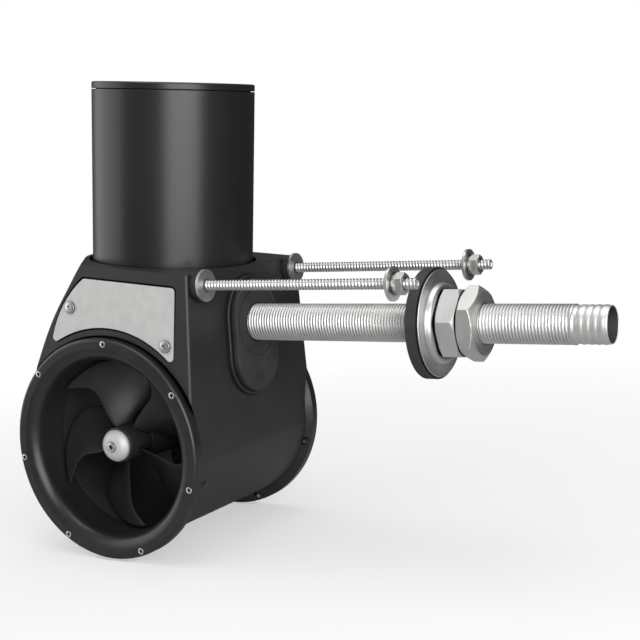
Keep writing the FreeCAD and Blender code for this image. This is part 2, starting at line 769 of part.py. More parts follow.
def coupling():
    """Sleeve that joins the armature shaft to the gear shaft."""
    body = cyl(COUPLING_R, V(0, 0, COUPLING_FOOT), Z, COUPLING_H)
    body = body.cut(cyl(DRIVE_R, V(0, 0, COUPLING_FOOT - 1), Z, DRIVE_TOP + 2 - COUPLING_FOOT))
    body = body.cut(cyl(MOTOR_SHAFT_R, V(0, 0, DRIVE_TOP + 1), Z, COUPLING_H))
    return place(body)


def bevel_gear(teeth, pitch_deg, turn, bore, back):
    """Straight bevel gear about +Z with its apex at the origin; pitch_deg is its pitch cone."""
    reach = CROWN_PITCH_R / math.sin(math.radians(math.degrees(math.atan2(TEETH_CROWN, TEETH_PINION))))
    inner = reach - FACE_WIDTH
    ga = math.radians(pitch_deg)
    tip = ga + math.atan(ADDENDUM / reach)
    root = ga - math.atan(DEDENDUM / reach)
    pitch = 2 * math.pi / teeth
    radius = reach * math.sin(ga)
    half = pitch / 4 * 0.84
    slope = math.tan(math.radians(20)) / radius
    wide = half + DEDENDUM * slope
    thin = half - ADDENDUM * slope

    def spot(s, g, f):
        return V(s * math.sin(g) * math.cos(f), s * math.sin(g) * math.sin(f), s * math.cos(g))

    r1 = inner * math.sin(root)
    z1 = inner * math.cos(root)
    r2 = reach * math.sin(root)
    z2 = reach * math.cos(root)
    body = turned_z((bore, z1), [[(r1, z1)], [(r2, z2)], [(r2 - 0.5, z2 + back)], [(bore, z2 + back)],
                                 [(bore, z1)]])
    low = root - 0.06
    solids = [body]
    for k in range(teeth):
        f = turn + k * pitch
        p = [spot(inner, low, f - wide), spot(inner, low, f + wide), spot(inner, tip, f + thin),
             spot(inner, tip, f - thin), spot(reach, low, f - wide), spot(reach, low, f + wide),
             spot(reach, tip, f + thin), spot(reach, tip, f - thin)]
        faces = []
        for a, b, c, d in ((0, 1, 2, 3), (4, 5, 6, 7), (0, 1, 5, 4), (1, 2, 6, 5), (2, 3, 7, 6), (3, 0, 4, 7)):
            faces.append(Part.Face(Part.makePolygon([p[a], p[b], p[c], p[d], p[a]])))
        solids.append(Part.Solid(Part.Shell(faces)))
    return solids[0].multiFuse(solids[1:])


def drive_pinion():
    """Gear shaft down the leg with its bevel pinion."""
    cone = math.degrees(math.atan2(TEETH_PINION, TEETH_CROWN))
    gear = bevel_gear(TEETH_PINION, cone, 0.0, 0.5, 4.0)
    body = gear.fuse(cyl(DRIVE_R, V(0, 0, 18), Z, DRIVE_TOP - 18)).fuse(cyl(0.6, V(0, 0, 11), Z, 10))
    return place(body)


def crown_gear(side):
    """Bevel gear on a propeller shaft, facing the pinion."""
    cone = math.degrees(math.atan2(TEETH_CROWN, TEETH_PINION))
    gear = bevel_gear(TEETH_CROWN, cone, math.pi / TEETH_CROWN, SHAFT_R, 4.0)
    gear.rotate(O, X, -90)
    if side < 0:
        gear = mirrored(gear)
    return place(gear)


# Propellers

def blade_edges(r):
    """Trailing and leading edge angles of a blade at radius r, in degrees from its middle."""
    rows = [(15.0, -34.0, 8.0), (22.0, -38.0, 4.0), (33.0, -43.0, 4.0), (45.0, -48.0, 8.0), (56.0, -50.0, 15.0),
            (66.0, -50.0, 23.0), (75.0, -48.0, 30.0), (80.0, -44.0, 34.5), (PROP_TIP_R, -33.0, 38.0)]
    for a, b in zip(rows, rows[1:]):
        if r <= b[0]:
            k = (r - a[0]) / (b[0] - a[0])
            return a[1] + k * (b[1] - a[1]), a[2] + k * (b[2] - a[2])
    return rows[-1][1], rows[-1][2]


BLADE_RADII = (15.0, 21.0, 28.0, 34.0, 40.0, 48.0, 56.0, 62.0, 68.0, 72.0, 76.0, 79.0, 81.5, PROP_TIP_R)
BLADE_STEPS = 10


def blade_sheet(middle, side):
    """Points of one face of a blade: a helical sheet, thicker at the root and at mid chord."""
    rows = []
    for r in BLADE_RADII:
        t0, t1 = blade_edges(r)
        thick = 0.8 + 3.2 * (1 - r / 100.0)
        row = []
        for k in range(BLADE_STEPS + 1):
            s = k / BLADE_STEPS
            a = math.radians(t0 + s * (t1 - t0))
            y = BLADE_Y + BLADE_PITCH * a / (2 * math.pi) + 1.5
            y = y - 3.0 * math.sin(math.pi * s) * (r / PROP_TIP_R)
            y = y + side * (0.35 + 0.5 * thick * math.sin(math.pi * s) ** 0.7)
            f = a + math.radians(middle)
            row.append(V(r * math.cos(f), y, r * math.sin(f)))
        rows.append(row)
    return rows


def blade(middle):
    """Solid between two interpolated faces, closed round its rim."""
    sheets = []
    for side in (-1, 1):
        s = Part.BSplineSurface()
        s.interpolate(blade_sheet(middle, side))
        sheets.append(s)
    faces = [sheets[0].toShape(), sheets[1].toShape()]
    u0, u1, v0, v1 = sheets[0].bounds()
    for pick in (lambda s: s.uIso(u0), lambda s: s.uIso(u1), lambda s: s.vIso(v0), lambda s: s.vIso(v1)):
        faces.append(Part.makeRuledSurface(pick(sheets[0]).toShape(), pick(sheets[1]).toShape()))
    shell = Part.Shell(faces)
    shell.sewShape()
    solid = Part.Solid(shell)
    if solid.Volume < 0:
        solid.reverse()
    return solid


def propeller():
    """Near propeller: hub with five wide skewed blades, about the tunnel's axis."""
    hub = turned_y((0, -HUB_BACK), [[(POD_END_R - 0.5, -HUB_BACK)], [(HUB_R, -HUB_BACK - 8)],
                                    [(HUB_R, -HUB_FRONT)], [(0, -HUB_FRONT)], [(0, -HUB_BACK)]])
    parts = [hub]
    for k in range(BLADES):
        parts.append(blade(104.0 + 360.0 / BLADES * k))
    body = parts[0].multiFuse(parts[1:])
    body = body.cut(cyl(SHAFT_R, V(0, -150, 0), Y, 150))
    pin_slot = cyl(PIN_R, V(-HUB_R - 2, -PIN_Y, 0), X, 2 * HUB_R + 4)
    return body.cut(pin_slot)


def drive_pin():
    return cyl(PIN_R, V(-HUB_R + 1.5, -PIN_Y, 0), X, 2 * HUB_R - 3)


def prop_shaft():
    """Shaft through the crown gear, the bearings and the propeller, drilled for its pin and end screw."""
    body = cyl(SHAFT_R, V(0, -HUB_FRONT, 0), Y, HUB_FRONT - SHAFT_INNER)
    body = body.cut(cyl(PIN_R, V(-HUB_R, -PIN_Y, 0), X, 2 * HUB_R))
    return body.cut(cyl(CAP_BOLT_R, V(0, -HUB_FRONT - 1, 0), Y, 19))


def hub_cap():
    """Domed zinc nut on the propeller's end."""
    tip = -HUB_FRONT - CAP_H
    side = -HUB_FRONT - 3.0
    body = turned_y((0, -HUB_FRONT), [[(CAP_R, -HUB_FRONT)], [(CAP_R, side)],
                                      [(CAP_R * 0.74, side + (tip - side) * 0.72), (5.0, tip)], [(0, tip)],
                                      [(0, -HUB_FRONT)]])
    body = body.cut(cyl(CAP_BOLT_R, V(0, tip - 5, 0), Y, 40))
    return body.cut(cyl(CAP_HEAD_R + 0.3, V(0, tip - 5, 0), Y, 8))


def cap_screw():
    tip = -HUB_FRONT - CAP_H
    body = cyl(CAP_BOLT_R, V(0, -HUB_FRONT + 16, 0), -Y, 16 + CAP_H - 3)
    body = body.fuse(cyl(CAP_HEAD_R, V(0, tip + 3, 0), -Y, 4))
    return body.cut(cyl(2.4, V(0, tip + 0.5, 0), -Y, 4))


def save_propeller(side, name):
    for shape, node in ((propeller(), "propeller_"), (drive_pin(), "drive_pin_"), (prop_shaft(), "prop_shaft_"),
                        (hub_cap(), "hub_anode_"), (cap_screw(), "hub_screw_")):
        if side > 0:
            shape = mirrored(shape)
        save(place(shape), node + name)
    save(crown_gear(side), "crown_gear_" + name)


# Conduit, gasket and clamp

def conduit():
    """Threaded stainless tube with a ridged hose end."""
    steps = [[(PIPE_START, PIPE_R)], [(THREAD_END - 1, PIPE_R)], [(THREAD_END, PIPE_R - 1)],
             [(THREAD_END, BARB_R - 0.4)]]
    step = 6.3
    x = THREAD_END + 4.0
    steps.append([(x, BARB_R - 0.4)])
    for k in range(4):
        steps.append([(x + step * 0.5, BARB_R + 0.2), (x + step, BARB_R - 0.4)])
        x = x + step
    steps.append([(PIPE_END - 0.5, BARB_R - 0.4)])
    steps.append([(PIPE_END, BARB_R - 0.9)])
    steps.append([(PIPE_END, PIPE_BORE_R)])
    steps.append([(PIPE_START, PIPE_BORE_R)])
    return turned_x((PIPE_START, PIPE_BORE_R), steps)


def gasket():
    """Rubber pad between the body and the transom, grooved for the ring seal."""
    body = racetrack(GASKET_R, -FACE_BACK + PAD_STEP, 0)
    body = body.makeFillet(1.0, level_edges(body, X, 0))
    body = body.cut(cyl(PIPE_R, V(-20, 0, 0), X, 40))
    return body.cut(ring(SEAL_R + SEAT, SEAL_BORE_R - SEAT, V(-SEAL_DEPTH, 0, 0), X, 3))


def ring_seal():
    return ring(SEAL_R, SEAL_BORE_R, V(-SEAL_DEPTH, 0, 0), X, SEAL_T)


def clamp_rubber():
    body = ring(RUBBER_R, PIPE_R + FIT, V(CLAMP_X, 0, 0), X, RUBBER_T)
    return body.cut(cyl(HUB_WASHER_R, V(CLAMP_X + RUBBER_T - HUB_WASHER_IN, 0, 0), X, 5))


def clamp_washer():
    """Stepped steel washer that presses on the rubber disc."""
    face = CLAMP_X + RUBBER_T
    x0 = face - HUB_WASHER_IN
    top = face + HUB_WASHER_H
    hub = NUT_AF / 2 + 6
    steps = [[(x0, HUB_WASHER_R)], [(face, HUB_WASHER_R)], [(face, hub + 5)],
             [(face + 1.6, hub + 2.6), (face + 4.6, hub + 0.6)], [(face + 5.4, hub)], [(top - 0.6, hub - 0.8)],
             [(top, hub - 1.4)], [(top, PIPE_R + FIT)], [(x0, PIPE_R + FIT)]]
    return turned_x((x0, PIPE_R + FIT), steps)


def clamp_nuts():
    x0 = CLAMP_X + RUBBER_T + HUB_WASHER_H
    save(nut(NUT_AF, PIPE_R + FIT, x0, NUT_END - x0, 0.0, 3.4), "clamp_nut")
    save(nut(NUT_AF, PIPE_R + FIT, NUT_END, LOCKNUT_END - NUT_END, 40.0, 4.6), "clamp_locknut")


# Studs

def stud(side):
    body = cyl(STUD_R, V(STUD_START, side * STUD_Y, STUD_Z), X, STUD_END - STUD_START)
    body = body.makeChamfer(0.8, level_edges(body, X, STUD_END))
    return body.cut(cyl(2.5, V(STUD_END - 6, side * STUD_Y, STUD_Z), X, 10))


def washer(x, side, r, t):
    return ring(r, STUD_R + FIT, V(x, side * STUD_Y, STUD_Z), X, t)


def stud_set(side, name):
    x = STUD_NUT_X
    save(washer(x, side, WASHER_R, WASHER_T), "stud_washer_" + name)
    save(washer(x + WASHER_T, side, SPRING_WASHER_R, SPRING_WASHER_T), "stud_lockwasher_" + name)
    n = nut(STUD_NUT_AF, STUD_R + FIT, x + WASHER_T + SPRING_WASHER_T, STUD_NUT_T, 30.0, 1.2)
    n.translate(V(0, side * STUD_Y, STUD_Z))
    save(n, "stud_nut_" + name)
    seat = washer(-WASHER_T, side, WASHER_R, WASHER_T)
    save(seat, "seat_washer_" + name)
    save(stud(side), "stud_" + name)


save(housing(), "housing")
save(nozzle(-1), "nozzle_near")
save(nozzle(1), "nozzle_far")
save(ring_screws(-1), "nozzle_screws_near")
save(ring_screws(1), "nozzle_screws_far")
save(ring_nuts(), "nozzle_nuts")
save(anode(-1), "anode_near")
save(anode(1), "anode_far")
save(anode_screws(), "anode_screws")
save(motor_can(), "motor_can")
save(motor_lid(), "motor_lid")
save(lid_screws(), "lid_screws")
save(lid_oring(), "lid_oring")
save(base_oring(), "base_oring")
save(end_bell(), "end_bell")
save(base_screws(), "base_screws")
save(magnets(), "magnets")
save(brush_gear(), "brush_gear")
save(brushes(), "brushes")
save(static_bearings(), "bearings")
save(shaft_seals(), "shaft_seals")
save(power_relay(), "power_relay")
save(armature_core(), "armature_core")
save(windings(), "windings")
save(commutator(), "commutator")
save(motor_shaft(), "motor_shaft")
save(coupling(), "coupling")
save(drive_pinion(), "drive_pinion")
save_propeller(-1, "near")
save_propeller(1, "far")
save(conduit(), "conduit")
save(gasket(), "gasket")
save(ring_seal(), "ring_seal")
save(clamp_rubber(), "clamp_rubber")
save(clamp_washer(), "clamp_washer")
clamp_nuts()
stud_set(-1, "near")
stud_set(1, "far")
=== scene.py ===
import json
import math
import bpy
import numpy as np
from mathutils import Matrix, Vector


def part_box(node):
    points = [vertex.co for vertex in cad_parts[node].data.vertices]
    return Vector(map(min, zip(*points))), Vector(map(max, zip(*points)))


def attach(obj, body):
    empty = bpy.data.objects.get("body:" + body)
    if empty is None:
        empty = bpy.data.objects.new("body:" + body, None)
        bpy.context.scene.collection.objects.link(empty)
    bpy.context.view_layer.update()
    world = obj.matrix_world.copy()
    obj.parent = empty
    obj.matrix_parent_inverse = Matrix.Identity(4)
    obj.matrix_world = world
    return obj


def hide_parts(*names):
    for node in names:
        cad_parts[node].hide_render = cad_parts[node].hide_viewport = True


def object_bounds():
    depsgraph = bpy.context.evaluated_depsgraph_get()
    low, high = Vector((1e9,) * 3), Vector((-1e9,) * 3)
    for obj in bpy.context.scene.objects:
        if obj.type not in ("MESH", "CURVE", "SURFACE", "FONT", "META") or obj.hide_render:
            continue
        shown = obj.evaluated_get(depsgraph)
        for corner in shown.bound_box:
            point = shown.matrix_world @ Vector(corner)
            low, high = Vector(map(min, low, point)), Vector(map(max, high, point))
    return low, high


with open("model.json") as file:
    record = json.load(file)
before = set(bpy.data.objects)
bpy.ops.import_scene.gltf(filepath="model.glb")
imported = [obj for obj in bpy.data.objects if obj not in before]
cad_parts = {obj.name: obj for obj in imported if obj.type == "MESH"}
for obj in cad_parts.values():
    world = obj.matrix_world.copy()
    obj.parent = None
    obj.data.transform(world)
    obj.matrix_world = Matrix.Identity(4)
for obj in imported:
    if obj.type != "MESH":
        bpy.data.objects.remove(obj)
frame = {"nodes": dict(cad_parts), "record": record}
cad_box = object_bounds()

# Units and the two frames
# The part's frame is the transom's: X runs inboard along the studs, Z up. The motor and its duct
# lean in it, so a point of the duct is carried over by one turn about Y and one shift.
MM = 0.001
LEAN = math.radians(5.5)
DUCT = np.array([-112.1, 0.0, -109.2])


def carry(points):
    """Moves points from the duct's frame to the part's: (x cos a + z sin a, y, z cos a - x sin a) + DUCT."""
    p = np.asarray(points, dtype=float)
    x = p[..., 0] * math.cos(LEAN) + p[..., 2] * math.sin(LEAN)
    z = p[..., 2] * math.cos(LEAN) - p[..., 0] * math.sin(LEAN)
    return np.stack([x, p[..., 1], z], axis=-1) + DUCT


def grid_piece(name, points):
    """Mesh from a (rows, columns, 3) array in millimetres, its last column joined to the first."""
    rows, cols = points.shape[:2]
    i = np.arange(rows * cols).reshape(rows, cols)
    after = np.roll(i, -1, axis=1)
    quads = np.stack([i[:-1], after[:-1], after[1:], i[1:]], axis=-1).reshape(-1, 4)
    mesh = bpy.data.meshes.new(name)
    mesh.from_pydata((points.reshape(-1, 3) * MM).tolist(), [], quads.tolist())
    mesh.validate()
    mesh.update()
    piece = bpy.data.objects.new(name, mesh)
    bpy.context.scene.collection.objects.link(piece)
    return piece


def shade(piece, material, angle=35.0):
    """Gives the piece its material and smooth faces that stay crisp across edges sharper than angle."""
    mesh = piece.data
    mesh.materials.clear()
    mesh.materials.append(material)
    mesh.polygons.foreach_set("use_smooth", [True] * len(mesh.polygons))
    mesh.set_sharp_from_angle(angle=math.radians(angle))


def joined(parts, name):
    """One object of that name from a list of them, each with its own material."""
    with bpy.context.temp_override(active_object=parts[0], selected_editable_objects=parts, object=parts[0]):
        bpy.ops.object.join()
    parts[0].name = name
    return parts[0]


def turned(profile, count, axis_point, axis):
    """Rings about an axis, row k at profile[k] = (along, radius), the radius a number or one per column."""
    a = np.asarray(axis, dtype=float)
    a = a / np.linalg.norm(a)
    u = np.cross((1.0, 0.0, 0.0), a)
    u = u / np.linalg.norm(u)
    v = np.cross(a, u)
    t = np.linspace(0.0, 2 * math.pi, count, endpoint=False)
    rows = []
    for along, radius in profile:
        r = np.broadcast_to(np.asarray(radius, dtype=float), t.shape)
        across = (r * np.cos(t))[:, None] * u + (r * np.sin(t))[:, None] * v
        rows.append(np.asarray(axis_point) + along * a + across)
    return np.array(rows)


# Shared surface effects
# Moulded plastic has a fine grain and turned metal has faint drag lines. Each effect is one node
# group that gives a mask or a height. Gaps and sockets get painted shade in colour and reflections.
def effect(name, inputs, outputs):
    """Shader group with value inputs (name, default) and outputs; returns it and its two end nodes."""
    g = bpy.data.node_groups.new(name, "ShaderNodeTree")
    for label, default in inputs:
        g.interface.new_socket(label, in_out="INPUT", socket_type="NodeSocketFloat").default_value = default
    for label in outputs:
        g.interface.new_socket(label, in_out="OUTPUT", socket_type="NodeSocketFloat")
    return g, g.nodes.new("NodeGroupInput"), g.nodes.new("NodeGroupOutput")


def span(tree, value, low, high, out_low, out_high):
    """Value stretched from low..high to out_low..out_high and held there."""
    m = tree.nodes.new("ShaderNodeMapRange")
    ends = {"From Min": low, "From Max": high, "To Min": out_low, "To Max": out_high}
    for socket, number in ends.items():
        m.inputs[socket].default_value = number
    tree.links.new(value, m.inputs["Value"])
    return m.outputs["Result"]


def math_in(tree, kind, a, b):
    m = tree.nodes.new("ShaderNodeMath")
    m.operation = kind
    for socket, value in zip(m.inputs, (a, b)):
        if isinstance(value, (int, float)):
            socket.default_value = value
        else:
            tree.links.new(value, socket)
    return m.outputs[0]


def grain_group():
    """Two sizes of noise in metres: Height for bump, Patch for slow changes of tone."""
    g, enter, leave = effect("mould_grain", [("Fine", 2600.0), ("Coarse", 45.0)], ["Height", "Patch"])
    where = g.nodes.new("ShaderNodeTexCoord").outputs["Object"]
    fine = g.nodes.new("ShaderNodeTexNoise")
    slow = g.nodes.new("ShaderNodeTexNoise")
    for node, socket, detail in ((fine, "Fine", 2.0), (slow, "Coarse", 4.0)):
        g.links.new(where, node.inputs["Vector"])
        g.links.new(enter.outputs[socket], node.inputs["Scale"])
        node.inputs["Detail"].default_value = detail
    g.links.new(fine.outputs["Fac"], leave.inputs["Height"])
    g.links.new(span(g, slow.outputs["Fac"], 0.3, 0.7, 0.0, 1.0), leave.inputs["Patch"])
    return g


def drag_group():
    """Fine lines across X, as a lathe or a polishing belt leaves on bar held along X."""
    g, enter, leave = effect("drag_lines", [("Density", 900.0)], ["Height", "Streak"])
    where = g.nodes.new("ShaderNodeTexCoord").outputs["Object"]
    squeeze = g.nodes.new("ShaderNodeVectorMath")
    squeeze.operation = "MULTIPLY"
    squeeze.inputs[1].default_value = (1.0, 0.02, 0.02)
    g.links.new(where, squeeze.inputs[0])
    lines = g.nodes.new("ShaderNodeTexNoise")
    lines.inputs["Detail"].default_value = 3.0
    g.links.new(squeeze.outputs[0], lines.inputs["Vector"])
    g.links.new(enter.outputs["Density"], lines.inputs["Scale"])
    g.links.new(lines.outputs["Fac"], leave.inputs["Height"])
    g.links.new(span(g, lines.outputs["Fac"], 0.35, 0.65, 0.0, 1.0), leave.inputs["Streak"])
    return g


GRAIN = grain_group()
DRAG = drag_group()


def gap_shade_mask(tree, gap):
    """Painted shade mask from ambient occlusion: 1 in the open and 0 down in gaps and sockets up to gap
    metres wide.
    """
    near = tree.nodes.new("ShaderNodeAmbientOcclusion")
    near.samples = 6
    near.inputs["Distance"].default_value = gap
    return span(tree, near.outputs["AO"], 0.4, 0.92, 0.0, 1.0)


# Materials
# Every material is a Principled shader whose colour, roughness and bump come from the effects, with painted
# shade darkening colour and reflections in gaps.
def surface(name, dark, light, rough, metal=0.0, bump=0.1, depth=0.00005, effect_group=None, sizes=(),
            coat=0.0, edge=0.0006, gloss=0.5, gap=0.004):
    """Material that drifts between two colours and two roughnesses.

    depth is the height of the bump in metres.
    edge is the radius in metres over which sharp edges catch the light as if broken with a file.
    gap is how wide a gap may be, in metres, and still get painted shade, its colour and reflections darkened.
    """
    m = bpy.data.materials.new(name)
    m.use_nodes = True
    t = m.node_tree
    b = t.nodes["Principled BSDF"]
    b.inputs["Metallic"].default_value = metal
    b.inputs["Coat Weight"].default_value = coat
    b.inputs["Coat Roughness"].default_value = 0.12
    look = t.nodes.new("ShaderNodeGroup")
    look.node_tree = effect_group or GRAIN
    for label, value in sizes:
        look.inputs[label].default_value = value
    tone = look.outputs[1]
    mix = t.nodes.new("ShaderNodeMix")
    mix.data_type = "RGBA"
    mix.inputs["A"].default_value = (*dark, 1)
    mix.inputs["B"].default_value = (*light, 1)
    t.links.new(tone, mix.inputs["Factor"])
    # Painted shade: ambient occlusion fades the colour to near-black and cuts the reflections in gaps and
    # sockets.
    unshaded = gap_shade_mask(t, gap)
    painted_gap_shade = t.nodes.new("ShaderNodeMix")
    painted_gap_shade.data_type = "RGBA"
    painted_gap_shade.inputs["A"].default_value = (0.002, 0.002, 0.002, 1)
    t.links.new(unshaded, painted_gap_shade.inputs["Factor"])
    t.links.new(mix.outputs["Result"], painted_gap_shade.inputs["B"])
    t.links.new(painted_gap_shade.outputs["Result"], b.inputs["Base Color"])
    t.links.new(math_in(t, "MULTIPLY", unshaded, gloss), b.inputs["Specular IOR Level"])
    t.links.new(span(t, tone, 0.0, 1.0, rough[0], rough[1]), b.inputs["Roughness"])
    bm = t.nodes.new("ShaderNodeBump")
    bm.inputs["Strength"].default_value = bump
    bm.inputs["Distance"].default_value = depth
    t.links.new(look.outputs[0], bm.inputs["Height"])
    if edge:
        soft = t.nodes.new("ShaderNodeBevel")
        soft.samples = 4
        soft.inputs["Radius"].default_value = edge
        t.links.new(soft.outputs["Normal"], bm.inputs["Normal"])
    t.links.new(bm.outputs["Normal"], b.inputs["Normal"])
    return m


composite = surface("composite", (0.018, 0.018, 0.019), (0.024, 0.024, 0.025), (0.40, 0.48), bump=0.35,
                    sizes=(("Coarse", 25.0),), edge=0.0012)
ring_black = surface("ring_black", (0.012, 0.012, 0.013), (0.017, 0.017, 0.018), (0.28, 0.36), bump=0.2)
motor_paint = surface("motor_paint", (0.0125, 0.0125, 0.013), (0.014, 0.014, 0.0145), (0.32, 0.34), bump=0.06,
                      sizes=(("Coarse", 12.0),), edge=0.001, gloss=0.55)
prop_plastic = surface("prop_plastic", (0.014, 0.014, 0.015), (0.019, 0.019, 0.020), (0.36, 0.44), bump=0.15,
                       gloss=0.35)
zinc = surface("zinc", (0.56, 0.56, 0.55), (0.63, 0.63, 0.62), (0.48, 0.58), metal=0.35, bump=0.25,
               depth=0.0001, sizes=(("Fine", 1800.0), ("Coarse", 90.0)), edge=0.0008)
stainless = surface("stainless", (0.62, 0.615, 0.605), (0.70, 0.695, 0.685), (0.36, 0.42), metal=1.0,
                    bump=0.04, depth=0.00002, effect_group=DRAG, edge=0.0004)
thread_steel = surface("thread_steel", (0.68, 0.675, 0.665), (0.74, 0.735, 0.725), (0.44, 0.50), metal=1.0,
                       bump=0.02, depth=0.00002, edge=0.0, gap=0.0008)
nut_steel = surface("nut_steel", (0.64, 0.635, 0.625), (0.70, 0.695, 0.685), (0.42, 0.48), metal=1.0,
                    bump=0.04, depth=0.00002, edge=0.0008, gap=0.003)
stud_steel = surface("stud_steel", (0.66, 0.655, 0.645), (0.72, 0.715, 0.705), (0.32, 0.38), metal=1.0,
                     bump=0.02, depth=0.00002, edge=0.0, gap=0.002)
# Steel of the conduit's bore, darkened to near-black as painted shade of the tube's inside.
bore_steel_painted_shade = surface("bore_steel_painted_shade", (0.035, 0.034, 0.033), (0.06, 0.058, 0.056), (0.6, 0.8), metal=0.6,
                     bump=0.3, edge=0.0)
screw_steel = surface("screw_steel", (0.62, 0.62, 0.61), (0.74, 0.74, 0.73), (0.25, 0.38), metal=1.0,
                      bump=0.15, sizes=(("Coarse", 300.0),), edge=0.0003)
gear_steel = surface("gear_steel", (0.40, 0.40, 0.41), (0.55, 0.55, 0.56), (0.2, 0.35), metal=1.0,
                     effect_group=DRAG)
black_rubber = surface("black_rubber", (0.022, 0.022, 0.023), (0.036, 0.036, 0.037), (0.62, 0.78), bump=0.4)
inner_frame = surface("inner_frame", (0.5, 0.5, 0.5), (0.62, 0.62, 0.62), (0.35, 0.5), metal=1.0)
core_iron = surface("core_iron", (0.16, 0.16, 0.17), (0.26, 0.26, 0.27), (0.4, 0.6), metal=0.9,
                    effect_group=DRAG, sizes=(("Density", 2500.0),))
copper = surface("copper", (0.52, 0.24, 0.11), (0.66, 0.33, 0.17), (0.25, 0.4), metal=1.0, coat=0.5)
carbon = surface("carbon", (0.03, 0.03, 0.03), (0.06, 0.06, 0.06), (0.5, 0.7))
magnet = surface("magnet", (0.06, 0.06, 0.065), (0.1, 0.1, 0.105), (0.45, 0.65))
relay_case = surface("relay_case", (0.04, 0.04, 0.04), (0.06, 0.06, 0.06), (0.4, 0.5))
BY_SLOT = dict(composite=composite, ring_black=ring_black, motor_paint=motor_paint, prop_plastic=prop_plastic,
               zinc=zinc, stainless=stainless, screw_steel=screw_steel, gear_steel=gear_steel,
               black_rubber=black_rubber, inner_frame=inner_frame, core_iron=core_iron, copper=copper,
               carbon=carbon, magnet=magnet, relay_case=relay_case)

for entry in frame["record"]["subparts"]:
    node = frame["nodes"][entry["node"]]
    for spot in node.material_slots:
        spot.material = BY_SLOT[entry["material_slot"]]
# The nozzle nuts stand in the shade behind the flange and take the ring's black instead of their steel:
# painted shade.
for spot in frame["nodes"]["nozzle_nuts"].material_slots:
    spot.material = ring_black


# Conduit
# Stainless tube threaded along its whole outside at 3 mm pitch, with a ridged hose end that a
# cable gaiter is clamped on. The thread is cut into the tube, so its crests keep the tube's size.
PIPE_R = 17.8
PIPE_PITCH = 3.0
PIPE_DEPTH = 1.05
PIPE_COLUMNS = 80
PIPE_ROWS_PER_TURN = 7
GROOVE_SLOPE = 2.6


def thread_rows(x0, x1, radius, pitch, depth, count, per_turn):
    """Rows along X: r = radius - depth * w, w a rounded V wave of (x / pitch - turn), faded at both ends."""
    n = int(round((x1 - x0) / pitch * per_turn))
    x = np.linspace(x0, x1, n + 1)[:, None]
    t = np.linspace(0.0, 2 * math.pi, count, endpoint=False)[None, :]
    phase = (x / pitch - t / (2 * math.pi)) % 1.0
    wave = np.clip(1.0 - np.abs(phase - 0.5) * GROOVE_SLOPE, 0.0, 1.0)
    wave = wave * wave * (3.0 - 2.0 * wave)
    fade = np.clip(np.minimum(x - x0, x1 - x) / pitch, 0.0, 1.0)
    r = radius - depth * wave * fade
    return np.stack([np.broadcast_to(x, r.shape), r * np.cos(t), r * np.sin(t)], axis=-1)


def x_rings(profile, count, center=(0.0, 0.0, 0.0)):
    """Rings about X in the same column order as thread_rows."""
    t = np.linspace(0.0, 2 * math.pi, count, endpoint=False)
    rows = []
    for x, r in profile:
        r = np.broadcast_to(np.asarray(r, dtype=float), t.shape)
        rows.append(np.stack([np.full_like(t, x), r * np.cos(t), r * np.sin(t)], axis=-1))
    return np.array(rows) + np.array(center)


THREAD_END = 323.5
NECK = 4.0
RIDGES = 4
RIDGE_STEP = 6.3
RIDGE_R = 17.2
VALLEY_R = 16.6
BORE_R = 15.6
pipe_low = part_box("conduit")[0][0] / MM
pipe_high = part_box("conduit")[1][0] / MM
collar = [(THREAD_END, PIPE_R - 0.6), (THREAD_END + 0.4, VALLEY_R), (THREAD_END + NECK, VALLEY_R)]
for k in range(RIDGES):
    for s in np.linspace(0.0, 1.0, 9)[1:]:
        collar.append((THREAD_END + NECK + (k + s) * RIDGE_STEP,
                       VALLEY_R + (RIDGE_R - VALLEY_R) * math.sin(math.pi * s)))
collar += [(pipe_high - 0.6, VALLEY_R), (pipe_high, VALLEY_R - 0.5), (pipe_high, BORE_R + 0.3),
           (pipe_high - 0.4, BORE_R), (pipe_low, BORE_R), (pipe_low, PIPE_R)]
threaded = thread_rows(pipe_low, THREAD_END, PIPE_R, PIPE_PITCH, PIPE_DEPTH, PIPE_COLUMNS, PIPE_ROWS_PER_TURN)
pipe = np.concatenate([threaded, x_rings(collar, PIPE_COLUMNS)])
conduit = grid_piece("conduit_threaded", pipe)
shade(conduit, thread_steel, 60)
conduit.data.materials.append(bore_steel_painted_shade)
# The bore is the last ring of faces but one. Its steel is darkened to near-black as painted shade of the
# tube's inside.
slots = np.zeros(len(conduit.data.polygons), dtype=np.int32)
slots[-2 * PIPE_COLUMNS:-PIPE_COLUMNS] = 1
conduit.data.polygons.foreach_set("material_index", slots)
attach(conduit, "thruster_body")
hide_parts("conduit")


# Mounting studs
# 10 mm stainless rod with a coarse thread and a hexagon socket in the inboard end, so that it can
# be screwed into its insert with a key.
STUD_PITCH = 3.25
STUD_DEPTH = 1.0
STUD_COLUMNS = 36
STUD_ROWS_PER_TURN = 8
STUD_KEY = 5.0
KEY_DEPTH = 6.0
STUD_CHAMFER = 0.8


def hexagon_radius(af, count):
    """Radius of a hexagon af across flats at each of count angles."""
    t = np.linspace(0.0, 2 * math.pi, count, endpoint=False)
    return af / 2 / np.cos((t + math.pi / 6) % (math.pi / 3) - math.pi / 6)


